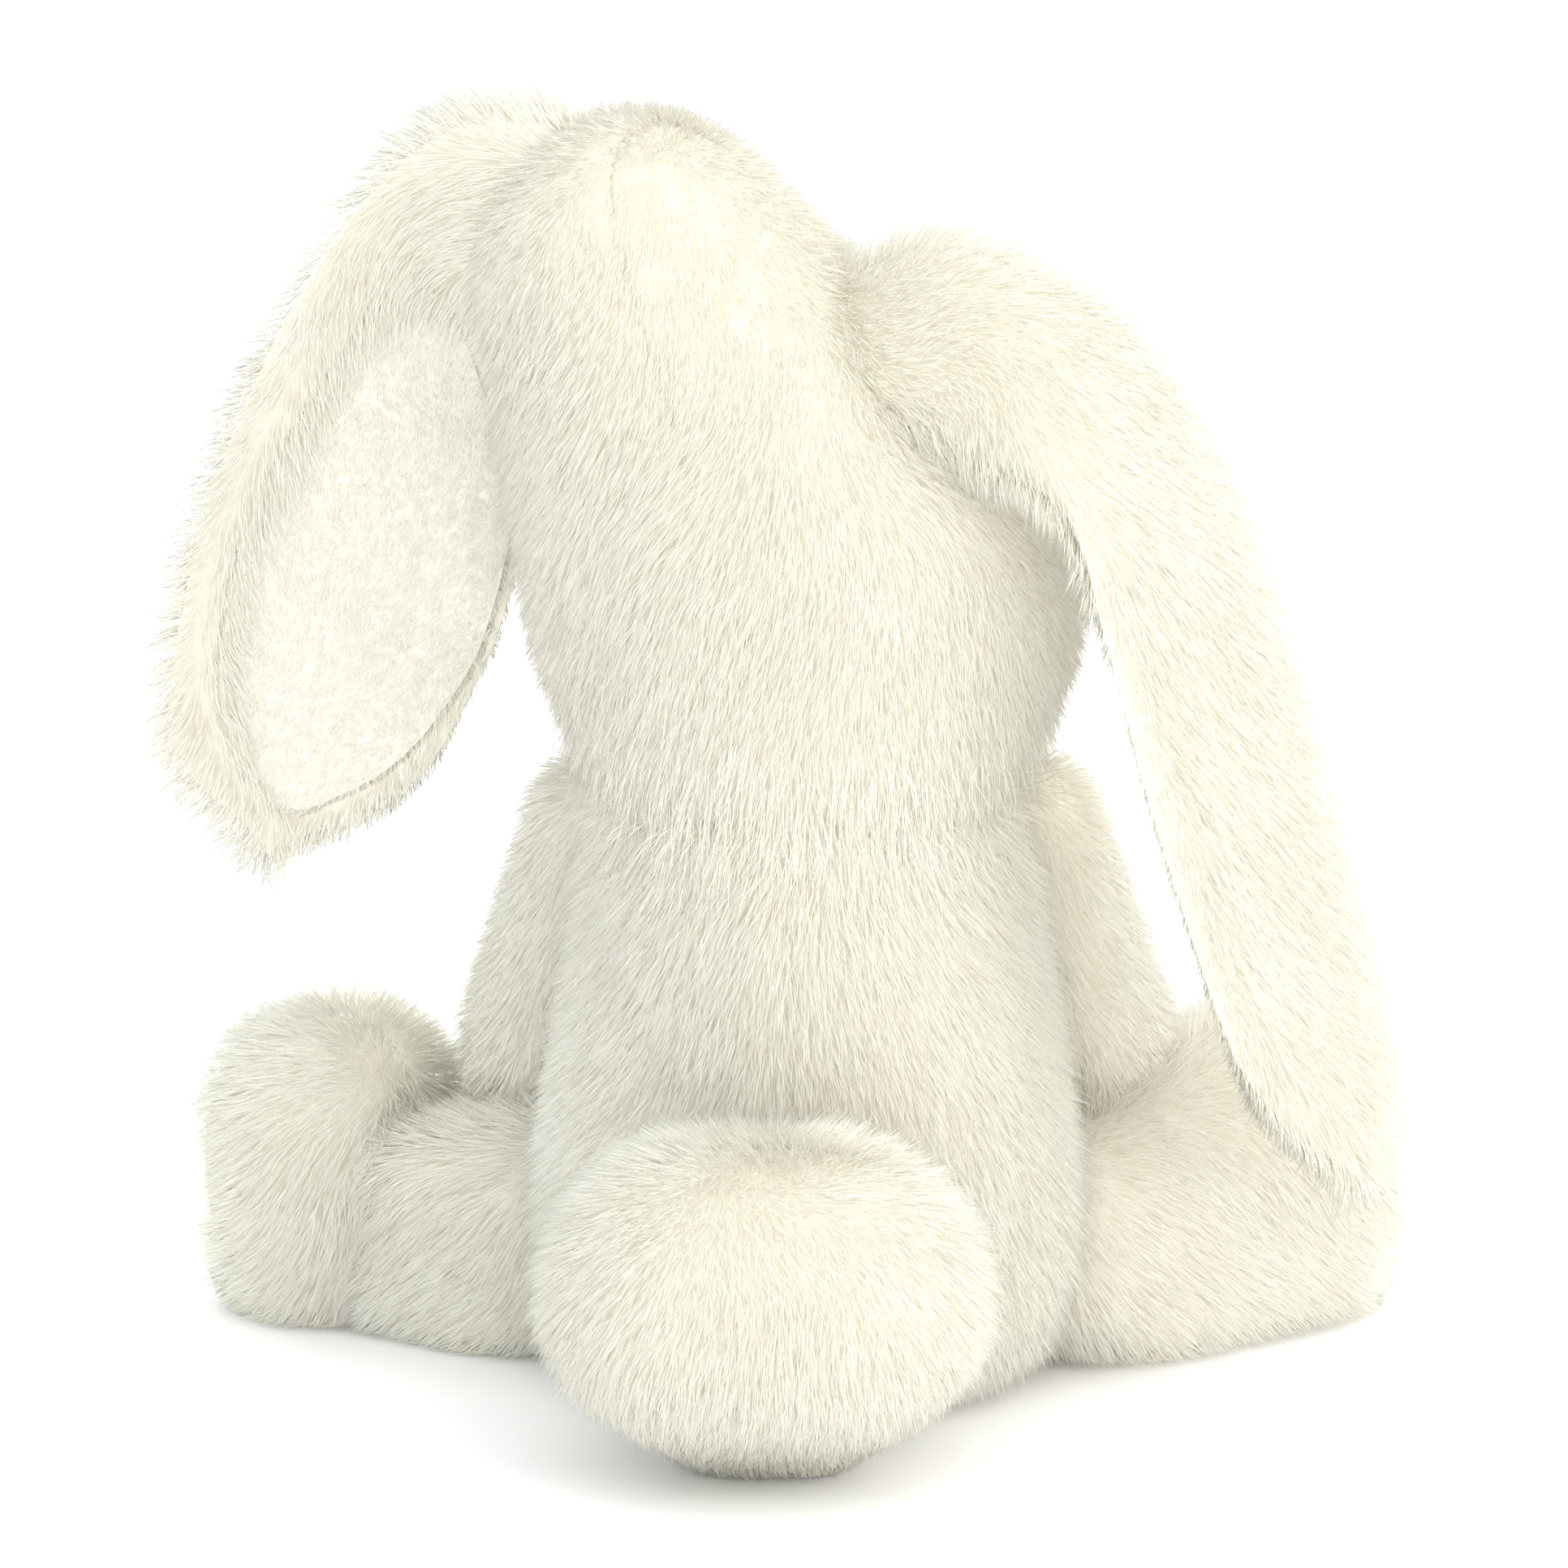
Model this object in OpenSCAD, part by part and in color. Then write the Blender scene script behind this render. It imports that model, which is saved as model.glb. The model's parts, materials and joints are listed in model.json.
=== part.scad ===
// Seated lop-eared plush rabbit. It faces -Y, its left side is +X, and the
// origin is the centre of the flat seat at floor level. Every surface here is
// the sewn cloth; the pile stands proud of it.

/* [Torso] */
// Radius of the torso at its widest
torso_r = 46.5; // [42:0.5:47]
// Height of the torso's widest ring above the seat
torso_widest_z = 31; // [30:0.5:33]
// Height of the top of the torso
torso_top_z = 110.5; // [109:0.5:110.5]
// Radius of the rounded shoulder
shoulder_round_r = 12.5; // [10:0.5:14]
// Distance of the shoulder rounding from the centre line
shoulder_ring_r = 24; // [22:0.5:25]

/* [Head] */
// Height of the middle of the cheeks
cheek_z = 147.5; // [147:0.5:149]
// Radius of the head at the cheeks
cheek_r = 46.5; // [44:0.5:47]
// Radius of the crown
crown_r = 27; // [24:0.5:28]
// Height of the crown's centre above the cheeks, along the head
crown_up = 65; // [60:1:66]
// How far the crown leans back behind the cheeks
crown_back = 20; // [14:1:22]
// Radius of the muzzle's tip
muzzle_r = 22; // [20:0.5:24]
// Distance of the muzzle's centre in front of the cheeks
muzzle_forward = 38; // [34:1:40]
// Turn of the head about the neck, towards its right
head_turn = -32; // [-34:1:-28]
// Lean of the head towards its left
head_lean = 22; // [20:1:24]
// Radius of an eye
eye_r = 5.2; // [4:0.1:6]
// Half the width of the strip of cloth over the top of the head
gusset_half_w = 14; // [10:1:18]

/* [Ears] */
// Half the thickness of an ear's furry back
ear_back_half_t = 3.4; // [2.5:0.1:3.6]
// Half the thickness of an ear's lining
ear_lining_half_t = 1; // [0.6:0.1:1.2]
// Margin of the furry back around the lining
ear_margin = 5; // [3:0.5:7]

/* [Arms] */
// Radius of an arm at the shoulder
shoulder_r = 11; // [9:0.5:11.5]
// Radius of a hand
hand_r = 14; // [12:0.5:14]

/* [Legs] */
// Radius of a leg
leg_r = 17.5; // [16:0.5:17.5]
// Radius of a foot
foot_r = 22; // [20:0.5:22]
// Height of the upper centre of a foot's rounding
foot_top_z = 35; // [32:1:36]
// Distance of the foot's centre from the hip
foot_reach = 40; // [39:1:41]
// Turn of the left leg forward from straight sideways
left_leg_turn = 28; // [24:1:32]
// Turn of the right leg forward from straight sideways
right_leg_turn = 45; // [40:1:46]

/* [Tail] */
// Distance of the tail's centre behind the seat's centre
tail_back = 76; // [76:0.5:79]
// Height of the tail's cloth above the floor, which its pile fills
tail_lift = 6; // [4:0.5:7]
// Radius of the tail's rounding
tail_r = 27; // [24:0.5:27]
// Width of the tail between the centres of its two rounded ends
tail_spread = 17; // [12:1:18]

/* [Cloth] */
// Thickness of the backing cloth with its packed underfur
wall = 2.4; // [2:0.1:3]
// Gap left along a seam
seam = 0.3; // [0.2:0.05:0.5]

/* [Hidden] */

$fn = 64;
arc_steps = 6;
start_turn = 37;
far = 400;
fill_gap = 0.2;
core_inset = wall + fill_gap;

cheek_at = [0, -3, cheek_z];
neck_cut_z = 116;
shoulder_at = [40, -27, 99];
hand_at = [50, -37, 58];
hip_at = [58, -26, 0];
tail_at = [4, tail_back, tail_lift + tail_r];
leg_lift = 0.6;
leg_axis_z = leg_r + leg_lift;
leg_short = 8;
foot_low_z = foot_r;
sole_ahead = 12.5;
sole_reach = foot_reach + sole_ahead;
sole_r = sqrt(foot_r * foot_r - sole_ahead * sole_ahead);
sole_t = 2.2;

torso_low = [0, torso_widest_z, torso_r];
torso_high = [shoulder_ring_r, torso_top_z - shoulder_round_r, shoulder_round_r];
seat_gap = 0.7;
seat_r = sqrt(pow(torso_r - wall, 2) - pow(torso_widest_z, 2)) - seat_gap;

// A profile is two arcs, each [distance from the axis, height, radius], joined by
// the straight line that touches both.
function touch_angle(low, high) =
    let (dx = high[0] - low[0], dz = high[1] - low[1])
    atan2(dz, dx) - acos((low[2] - high[2]) / norm([dx, dz]));
function arc_points(arc, from, to) =
    [for (i = [0 : arc_steps])
        let (a = from + (to - from) * i / arc_steps)
        [max(0, arc[0] + arc[2] * cos(a)), arc[1] + arc[2] * sin(a)]];
function inset_arc(arc, by) = [arc[0], arc[1], arc[2] - by];
function profile(low, high) =
    let (a = touch_angle(low, high))
    concat(
        low[0] > 0 ? [[0, low[1] - low[2]]] : [],
        arc_points(low, -90, a),
        arc_points(high, a, 90),
        high[0] > 0 ? [[0, high[1] + high[2]]] : []);
function unit(v) = v / norm(v);

module spun(low, high, inset = 0)
    rotate([0, 0, start_turn]) rotate_extrude()
        polygon(profile(inset_arc(low, inset), inset_arc(high, inset)));

// Puts its children's +Z axis along the line between two points.
module aim(from, to) {
    d = to - from;
    translate(from)
        rotate([0, acos(d.z / norm(d)), atan2(d.y, d.x)])
            children();
}
module above(z) intersection() {
    children();
    translate([-far / 2, -far / 2, z]) cube(far);
}
module left_of(x) translate([x, -far / 2, -far / 2]) cube(far);
module right_of(x) mirror([1, 0, 0]) left_of(-x);
module behind(y) translate([-far / 2, y, -far / 2]) cube(far);
module before(y) mirror([0, 1, 0]) behind(-y);

// ---- torso ----
module torso_shape(inset) spun(torso_low, torso_high, inset);
module torso_shell() above(0) difference() {
    torso_shape(0);
    torso_shape(wall);
}
belly_seam_y = -14;
module torso_back(side) color("ivory") intersection() {
    torso_shell();
    behind(belly_seam_y + seam);
    mirror([side < 0 ? 1 : 0, 0, 0]) left_of(seam / 2);
}
module torso_back_left_panel() torso_back(1);
module torso_back_right_panel() torso_back(-1);
module torso_belly_panel() color("ivory") intersection() {
    torso_shell();
    before(belly_seam_y);
}
module seat_base_panel() color("ivory") cylinder(r = seat_r, h = wall);
pellet_r = 20;
pellet_lift = 5;
pellet_at = [0, 0, pellet_r + pellet_lift];
module torso_stuffing() color("white") difference() {
    above(wall + fill_gap) torso_shape(core_inset);
    translate(pellet_at) sphere(pellet_r + fill_gap);
}
module seat_pellet_pouch() color("gainsboro") translate(pellet_at) sphere(pellet_r);

// ---- neck ----
seam_gap = 0.3;
neck_low_z = torso_top_z + seam_gap;
thread_r = 0.9;
neck_plug_r = 18;
neck_plug_h = 2.4;
module neck_gather_thread() color("ivory")
    translate([0, 0, neck_low_z + thread_r])
        rotate_extrude() translate([neck_plug_r + 2 * thread_r, 0]) circle(thread_r, $fn = 24);
module neck_plug() color("white")
    translate([0, 0, neck_low_z]) cylinder(r = neck_plug_r, h = neck_plug_h);

// ---- head ----
module at_head() translate(cheek_at) rotate([0, head_lean, head_turn]) children();
crown_at = [0, crown_back, crown_up];
muzzle_drop = 6;
muzzle_at = [0, -muzzle_forward, -muzzle_drop];
muzzle_root_r = 40;
module head_shape(inset) at_head() union() {
    aim([0, 0, 0], crown_at)
        spun([0, 0, cheek_r], [0, norm(crown_at), crown_r], inset);
    aim([0, 0, 0], muzzle_at)
        spun([0, 0, muzzle_root_r], [0, norm(muzzle_at), muzzle_r], inset);
}
module head_shell() difference() {
    above(neck_cut_z) head_shape(0);
    above(neck_cut_z + wall) head_shape(wall);
}
eye_dir = unit([0.823, -0.514, 0.242]);
eye_sunk = 2.2;
eye_depth = cheek_r - eye_sunk;
shank_r = 1.4;
washer_r = 5.4;
washer_t = 1.4;
washer_depth = eye_depth - eye_r - seam_gap;
washer_room = 4;
module at_eye(side, depth) at_head()
    mirror([side < 0 ? 1 : 0, 0, 0])
        aim(eye_dir * depth, eye_dir * far) children();
module eye_space(side) at_eye(side, eye_depth) sphere(eye_r + 0.1, $fn = 48);
muzzle_seam_y = -27;
module head_side_panel(side) color("ivory") difference() {
    intersection() {
        head_shell();
        at_head() behind(muzzle_seam_y + seam);
        at_head() mirror([side < 0 ? 1 : 0, 0, 0]) left_of(gusset_half_w + seam);
    }
    eye_space(side);
}
module head_left_panel() head_side_panel(1);
module head_right_panel() head_side_panel(-1);
module head_centre_gusset() color("ivory") intersection() {
    head_shell();
    at_head() behind(muzzle_seam_y + seam);
    at_head() left_of(-gusset_half_w);
    at_head() right_of(gusset_half_w);
}
module muzzle_panel() color("ivory") difference() {
    intersection() {
        head_shell();
        at_head() before(muzzle_seam_y);
    }
    eye_space(1);
    eye_space(-1);
}
module head_stuffing() color("white") difference() {
    above(neck_cut_z + core_inset) head_shape(core_inset);
    for (side = [1, -1])
        at_eye(side, washer_depth - washer_room)
            cylinder(r = washer_r + 2 * fill_gap, h = far, $fn = 48);
}
shank_from = -8;
module eye(side) color("black")
    at_eye(side, eye_depth) rotate_extrude() polygon(concat(
        [[0, shank_from], [shank_r, shank_from]],
        arc_points([0, 0, eye_r], asin(shank_r / eye_r) - 90, 90)));
module eye_left() eye(1);
module eye_right() eye(-1);
module eye_washer(side) color("whitesmoke")
    at_eye(side, washer_depth - washer_t) difference() {
        cylinder(r = washer_r, h = washer_t, $fn = 48);
        translate([0, 0, -1]) cylinder(r = shank_r + 0.05, h = washer_t + 2, $fn = 32);
    }
module eye_washer_left() eye_washer(1);
module eye_washer_right() eye_washer(-1);
module at_muzzle() at_head() translate(muzzle_at) children();
nose_r = 5.5;
thread_t = 0.9;
nose_reach = 19.6;
nose_tilt = 20;
module nose_stitching() color("pink") at_muzzle() difference() {
    rotate([-nose_tilt, 0, 0]) translate([0, -nose_reach, 0]) sphere(nose_r, $fn = 48);
    sphere(muzzle_r + 0.05);
}
mouth_drop = 5;
mouth_arc_r = 4.5;
module mouth_outline() {
    translate([-thread_t / 2, -mouth_drop]) square([thread_t, mouth_drop]);
    for (side = [1, -1])
        translate([side * (mouth_arc_r - thread_t / 2), -mouth_drop]) intersection() {
            difference() {
                circle(mouth_arc_r, $fn = 32);
                circle(mouth_arc_r - thread_t, $fn = 32);
            }
            translate([-mouth_arc_r, -mouth_arc_r]) square([2 * mouth_arc_r, mouth_arc_r]);
        }
}
module mouth_stitching() color("pink") at_muzzle() intersection() {
    difference() {
        sphere(muzzle_r + thread_t);
        sphere(muzzle_r + 0.1);
    }
    rotate([90, 0, 0]) linear_extrude(far) mouth_outline();
}

// ---- ears ----
// Each station of an ear is its centre, the direction across it towards the
// inner edge, and its half width.
left_ear = [
    [[63, -5, 203], [-0.13, 0, -0.99], 20],
    [[71, -8, 188], [-0.70, 0, -0.71], 22],
    [[79, -12, 165], [-0.87, 0, -0.49], 24],
    [[87, -14, 136], [-0.97, 0, -0.25], 23],
    [[94, -14, 114], [-1.00, 0, -0.09], 18],
    [[98, -13, 102], [-1.00, 0, 0], 9]
];
right_ear = [
    [[-23.4, 18.7, 192.4], [-0.57, 0.37, -0.735], 20],
    [[-40, 25, 196], [-0.20, 0.50, -0.84], 21],
    [[-56, 29, 182], [0.25, 0.66, -0.70], 22],
    [[-67, 28, 157], [0.55, 0.76, -0.35], 22.5],
    [[-79, 27, 115], [0.63, 0.77, 0.05], 23],
    [[-93, 25, 70], [0.64, 0.77, 0.08], 20],
    [[-101, 23, 45], [0.64, 0.77, 0], 9]
];
ear_end_t = 3;
module ear_plate(stations, i, margin, half_t, lift) {
    last = len(stations) - 1;
    along = unit(stations[min(last, i + 1)][0] - stations[max(0, i - 1)][0]);
    face = unit(cross(along, stations[i][1]));
    across = cross(face, along);
    at = stations[i][0] + face * lift;
    multmatrix([
        [across.x, face.x, along.x, at.x],
        [across.y, face.y, along.y, at.y],
        [across.z, face.z, along.z, at.z]
    ]) scale([stations[i][2] - margin, half_t, ear_end_t]) sphere(1, $fn = 18);
}
module ear_strip(stations, margin, half_t, lift)
    for (i = [0 : len(stations) - 2]) hull() {
        ear_plate(stations, i, margin, half_t, lift);
        ear_plate(stations, i + 1, margin, half_t, lift);
    }
lining_lift = ear_back_half_t + ear_lining_half_t + 0.15;
ear_gap = 3;
module ear_back(stations) color("ivory") difference() {
    ear_strip(stations, 0, ear_back_half_t, 0);
    head_shape(-ear_gap);
}
module ear_lining(stations) color("white") difference() {
    ear_strip(stations, ear_margin, ear_lining_half_t, lining_lift);
    ear_strip(stations, 0, ear_back_half_t + 0.05, 0);
    head_shape(-ear_gap);
}
module ear_left_back() ear_back(left_ear);
module ear_left_lining() ear_lining(left_ear);
module ear_right_back() ear_back(right_ear);
module ear_right_lining() ear_lining(right_ear);

// ---- arms ----
module on_side(side) mirror([side < 0 ? 1 : 0, 0, 0]) children();
module arm_shape(inset) aim(hand_at, shoulder_at)
    spun([0, 0, hand_r], [0, norm(shoulder_at - hand_at), shoulder_r], inset);
module arm_shell() difference() {
    arm_shape(0);
    arm_shape(wall);
}
module arm_outer_panel(side) color("ivory") on_side(side) intersection() {
    arm_shell();
    aim(hand_at, shoulder_at) right_of(-seam / 2);
}
module arm_inner_panel(side) color("ivory") on_side(side) intersection() {
    arm_shell();
    aim(hand_at, shoulder_at) left_of(seam / 2);
}
module arm_stuffing(side) color("white") on_side(side) arm_shape(core_inset);
module arm_left_outer_panel() arm_outer_panel(1);
module arm_left_inner_panel() arm_inner_panel(1);
module arm_left_stuffing() arm_stuffing(1);
module arm_right_outer_panel() arm_outer_panel(-1);
module arm_right_inner_panel() arm_inner_panel(-1);
module arm_right_stuffing() arm_stuffing(-1);

// ---- legs ----
module at_leg(side) on_side(side) translate(hip_at)
    rotate([0, 0, side > 0 ? -left_leg_turn : -right_leg_turn]) children();
module leg_shape(inset) intersection() {
    union() {
        translate([0, 0, leg_axis_z]) rotate([0, 90, 0])
            spun([0, 0, leg_r], [0, foot_reach - leg_short, leg_r], inset);
        translate([foot_reach, 0, 0])
            spun([0, foot_low_z, foot_r], [0, foot_top_z, foot_r], inset);
    }
    right_of(sole_reach - inset);
}
module leg_shell() difference() {
    leg_shape(0);
    leg_shape(wall);
}
module leg_outer_panel(side) color("ivory") at_leg(side) intersection() {
    leg_shell();
    behind(seam / 2);
}
module leg_inner_panel(side) color("ivory") at_leg(side) intersection() {
    leg_shell();
    before(-seam / 2);
}
module sole(side) color("white") at_leg(side)
    translate([sole_reach + seam / 2, 0, 0]) rotate([0, 90, 0]) linear_extrude(sole_t) union() {
        for (z = [foot_low_z, foot_top_z]) translate([-z, 0]) circle(sole_r);
        translate([-foot_top_z, -sole_r]) square([foot_top_z - foot_low_z, 2 * sole_r]);
    }
foot_pouch_r = 11;
foot_pouch_back = 4;
module at_foot_pouch() translate([foot_reach - foot_pouch_back, 0, foot_low_z]) children();
module leg_stuffing(side) color("white") at_leg(side) difference() {
    leg_shape(core_inset);
    at_foot_pouch() sphere(foot_pouch_r + fill_gap);
}
module foot_pellet_pouch(side) color("gainsboro") at_leg(side) at_foot_pouch() sphere(foot_pouch_r);
module leg_left_outer_panel() leg_outer_panel(1);
module leg_left_inner_panel() leg_inner_panel(1);
module sole_left() sole(1);
module leg_left_stuffing() leg_stuffing(1);
module foot_left_pellet_pouch() foot_pellet_pouch(1);
module leg_right_outer_panel() leg_outer_panel(-1);
module leg_right_inner_panel() leg_inner_panel(-1);
module sole_right() sole(-1);
module leg_right_stuffing() leg_stuffing(-1);
module foot_right_pellet_pouch() foot_pellet_pouch(-1);

// ---- tail ----
module tail_shape(inset) translate(tail_at - [tail_spread / 2, 0, 0]) rotate([0, 90, 0])
    spun([0, 0, tail_r], [0, tail_spread, tail_r], inset);
module tail_cover() color("ivory") difference() {
    tail_shape(0);
    tail_shape(wall);
}
tail_knot_r = 5;
tail_knot_depth = 6;
tail_knot_room = 2.4;
module at_tail_knot()
    translate(tail_at + [0, tail_knot_depth - tail_r, 0]) rotate([90, 0, 0]) children();
module tail_gather_thread() color("ivory")
    at_tail_knot() rotate_extrude() translate([tail_knot_r, 0]) circle(thread_r, $fn = 24);
module tail_stuffing() color("white") difference() {
    tail_shape(core_inset);
    at_tail_knot()
        cylinder(r = tail_knot_r + thread_r + seam_gap, h = tail_knot_room, center = true);
}

torso_back_left_panel();
torso_back_right_panel();
torso_belly_panel();
seat_base_panel();
torso_stuffing();
seat_pellet_pouch();
neck_gather_thread();
neck_plug();
head_left_panel();
head_right_panel();
head_centre_gusset();
muzzle_panel();
head_stuffing();
eye_left();
eye_right();
eye_washer_left();
eye_washer_right();
nose_stitching();
mouth_stitching();
ear_left_back();
ear_left_lining();
ear_right_back();
ear_right_lining();
arm_left_outer_panel();
arm_left_inner_panel();
arm_left_stuffing();
arm_right_outer_panel();
arm_right_inner_panel();
arm_right_stuffing();
leg_left_outer_panel();
leg_left_inner_panel();
sole_left();
leg_left_stuffing();
foot_left_pellet_pouch();
leg_right_outer_panel();
leg_right_inner_panel();
sole_right();
leg_right_stuffing();
foot_right_pellet_pouch();
tail_cover();
tail_gather_thread();
tail_stuffing();
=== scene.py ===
import json
import math
from collections import namedtuple

import bmesh
import bpy
import numpy as np
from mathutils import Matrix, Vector
from mathutils.kdtree import KDTree


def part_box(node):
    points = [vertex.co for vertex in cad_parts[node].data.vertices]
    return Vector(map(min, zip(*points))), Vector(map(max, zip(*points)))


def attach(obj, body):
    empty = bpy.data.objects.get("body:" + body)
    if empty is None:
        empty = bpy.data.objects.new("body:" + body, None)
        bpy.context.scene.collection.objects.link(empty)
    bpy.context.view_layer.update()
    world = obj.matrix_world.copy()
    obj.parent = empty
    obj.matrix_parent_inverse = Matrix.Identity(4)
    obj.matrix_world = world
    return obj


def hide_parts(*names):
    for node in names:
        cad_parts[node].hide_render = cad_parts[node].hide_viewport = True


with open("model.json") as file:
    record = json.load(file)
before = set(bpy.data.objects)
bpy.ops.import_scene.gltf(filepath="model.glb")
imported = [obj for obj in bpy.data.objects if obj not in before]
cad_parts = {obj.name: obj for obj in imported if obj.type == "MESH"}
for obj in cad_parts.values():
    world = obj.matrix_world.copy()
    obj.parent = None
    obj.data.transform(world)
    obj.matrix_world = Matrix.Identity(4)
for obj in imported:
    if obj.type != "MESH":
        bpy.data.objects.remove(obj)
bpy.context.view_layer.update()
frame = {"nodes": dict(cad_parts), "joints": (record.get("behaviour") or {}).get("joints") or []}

MM = 0.001
UP = np.array([0.0, 0.0, 1.0])
BACKWARDS = np.array([0.0, 1.0, 0.0])
joints = {j["name"]: j for j in frame["joints"]}


def unit(v):
    v = np.asarray(v, float)
    return v / np.maximum(np.linalg.norm(v, axis=-1, keepdims=True), 1e-12)


def box_centre(*nodes):
    low = np.min([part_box(n)[0] for n in nodes], axis=0)
    high = np.max([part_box(n)[1] for n in nodes], axis=0)
    return (low + high) / 2


def blend_step(x, low, high):
    """0 below low, 1 above high, smooth between."""
    t = np.clip((x - low) / (high - low), 0, 1)
    return t * t * (3 - 2 * t)


def drift(points, size, seed, amount=1.0):
    """A smooth random vector at each point, with features about size across."""
    rng = np.random.default_rng(seed)
    total = np.zeros_like(points)
    for octave in range(7):
        wave = unit(rng.normal(size=3)) * 2 * math.pi / (size * (0.6 + 0.25 * octave))
        phase = rng.uniform(0, 2 * math.pi, 3)
        total += np.sin((points @ wave)[:, None] + phase) * rng.normal(size=3)
    return total * amount / math.sqrt(7)


# ---- stage, light and camera --------------------------------------------------
scene = bpy.context.scene
scene.view_settings.view_transform = "Standard"


# The room's brightness and tint, on the toy's right (-X) and on its left (+X).
ROOM_GLOW = (2.15, 1.2)
ROOM_TINT = ((1.0, 0.985, 0.965, 1), (0.92, 0.97, 1.0, 1))
FLOOR_HALF = 12.0


def node(tree, kind, **values):
    made = tree.nodes.new(kind)
    for key, value in values.items():
        setattr(made, key, value)
    return made


def make_floor():
    """A plain pale floor, wide enough that its edge is never seen."""
    me = bpy.data.meshes.new("floor")
    corners = [(-FLOOR_HALF, -FLOOR_HALF, 0), (FLOOR_HALF, -FLOOR_HALF, 0),
               (FLOOR_HALF, FLOOR_HALF, 0), (-FLOOR_HALF, FLOOR_HALF, 0)]
    me.from_pydata(corners, [], [(0, 1, 2, 3)])
    floor = bpy.data.objects.new("floor", me)
    scene.collection.objects.link(floor)
    mat = bpy.data.materials.new("floor_paper")
    mat.use_nodes = True
    shader = mat.node_tree.nodes["Principled BSDF"]
    shader.inputs["Base Color"].default_value = (0.93, 0.93, 0.925, 1)
    shader.inputs["Roughness"].default_value = 0.9
    shader.inputs["Specular IOR Level"].default_value = 0.1
    me.materials.append(mat)


def make_room():
    """A white room, brighter and warmer on the toy's right than on its left."""
    world = bpy.data.worlds.new("studio")
    scene.world = world
    world.use_nodes = True
    tree = world.node_tree
    sky = tree.nodes["Background"]
    coords = node(tree, "ShaderNodeTexCoord")
    split = node(tree, "ShaderNodeSeparateXYZ")
    glow = node(tree, "ShaderNodeMapRange")
    glow.inputs["From Min"].default_value = -1.0
    glow.inputs["To Min"].default_value, glow.inputs["To Max"].default_value = ROOM_GLOW
    side = node(tree, "ShaderNodeMapRange")
    side.inputs["From Min"].default_value = -1.0
    tint = node(tree, "ShaderNodeMix", data_type="RGBA")
    tint.inputs["A"].default_value, tint.inputs["B"].default_value = ROOM_TINT
    links = tree.links
    links.new(coords.outputs["Generated"], split.inputs["Vector"])
    links.new(split.outputs["X"], glow.inputs["Value"])
    links.new(split.outputs["X"], side.inputs["Value"])
    links.new(side.outputs["Result"], tint.inputs["Factor"])
    links.new(tint.outputs["Result"], sky.inputs["Color"])
    links.new(glow.outputs["Result"], sky.inputs["Strength"])


def soft_light(name, at, aim_at, size, watts, colour):
    lamp = bpy.data.lights.new(name, "AREA")
    lamp.shape = "DISK"
    lamp.size = size
    lamp.energy = watts
    lamp.color = colour
    ob = bpy.data.objects.new(name, lamp)
    ob.location = at
    ob.rotation_mode = "QUATERNION"
    ob.rotation_quaternion = (Vector(aim_at) - Vector(at)).to_track_quat("-Z", "Y")
    scene.collection.objects.link(ob)


def make_camera():
    """The toy is seen from behind, a little from above, with a long lens."""
    azimuth, elevation = math.radians(183), math.radians(11)
    distance, frame_width = 1.5, 0.2898
    target = Vector((0.0045, 0, 0.1118))
    back = Vector((math.sin(azimuth) * math.cos(elevation),
                   -math.cos(azimuth) * math.cos(elevation), math.sin(elevation)))
    data = bpy.data.cameras.new("camera")
    data.sensor_width = 36
    data.lens = data.sensor_width * distance / frame_width
    data.clip_start, data.clip_end = 0.05, 50
    cam = bpy.data.objects.new("camera", data)
    cam.location = target + back * distance
    cam.rotation_mode = "QUATERNION"
    cam.rotation_quaternion = (-back).to_track_quat("-Z", "Y")
    scene.collection.objects.link(cam)
    scene.camera = cam


make_floor()
make_room()
make_camera()
soft_light("key", (-0.95, 0.85, 0.95), (0, 0, 0.12), 0.9, 3.5, (1.0, 0.97, 0.92))
soft_light("back_fill", (0.35, 1.5, 0.35), (0, 0, 0.05), 0.8, 1.8, (1.0, 0.99, 0.97))
soft_light("front_fill", (0.7, -1.2, 0.8), (0, 0, 0.12), 1.0, 1.5, (1.0, 0.985, 0.96))


# ---- materials ----------------------------------------------------------------
def plain(name, colour, roughness=0.9, sheen=0.0, specular=0.15):
    mat = bpy.data.materials.new(name)
    mat.use_nodes = True
    shader = mat.node_tree.nodes["Principled BSDF"]
    shader.inputs["Base Color"].default_value = (*colour, 1)
    shader.inputs["Roughness"].default_value = roughness
    shader.inputs["Specular IOR Level"].default_value = specular
    if sheen:
        shader.inputs["Sheen Weight"].default_value = sheen
        shader.inputs["Sheen Roughness"].default_value = 0.5
    return mat


# How much broader a cloth's soft shading is than its grain, and how deep the grain is.
CLOUD_SIZE = 14
RELIEF = 0.0004


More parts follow.
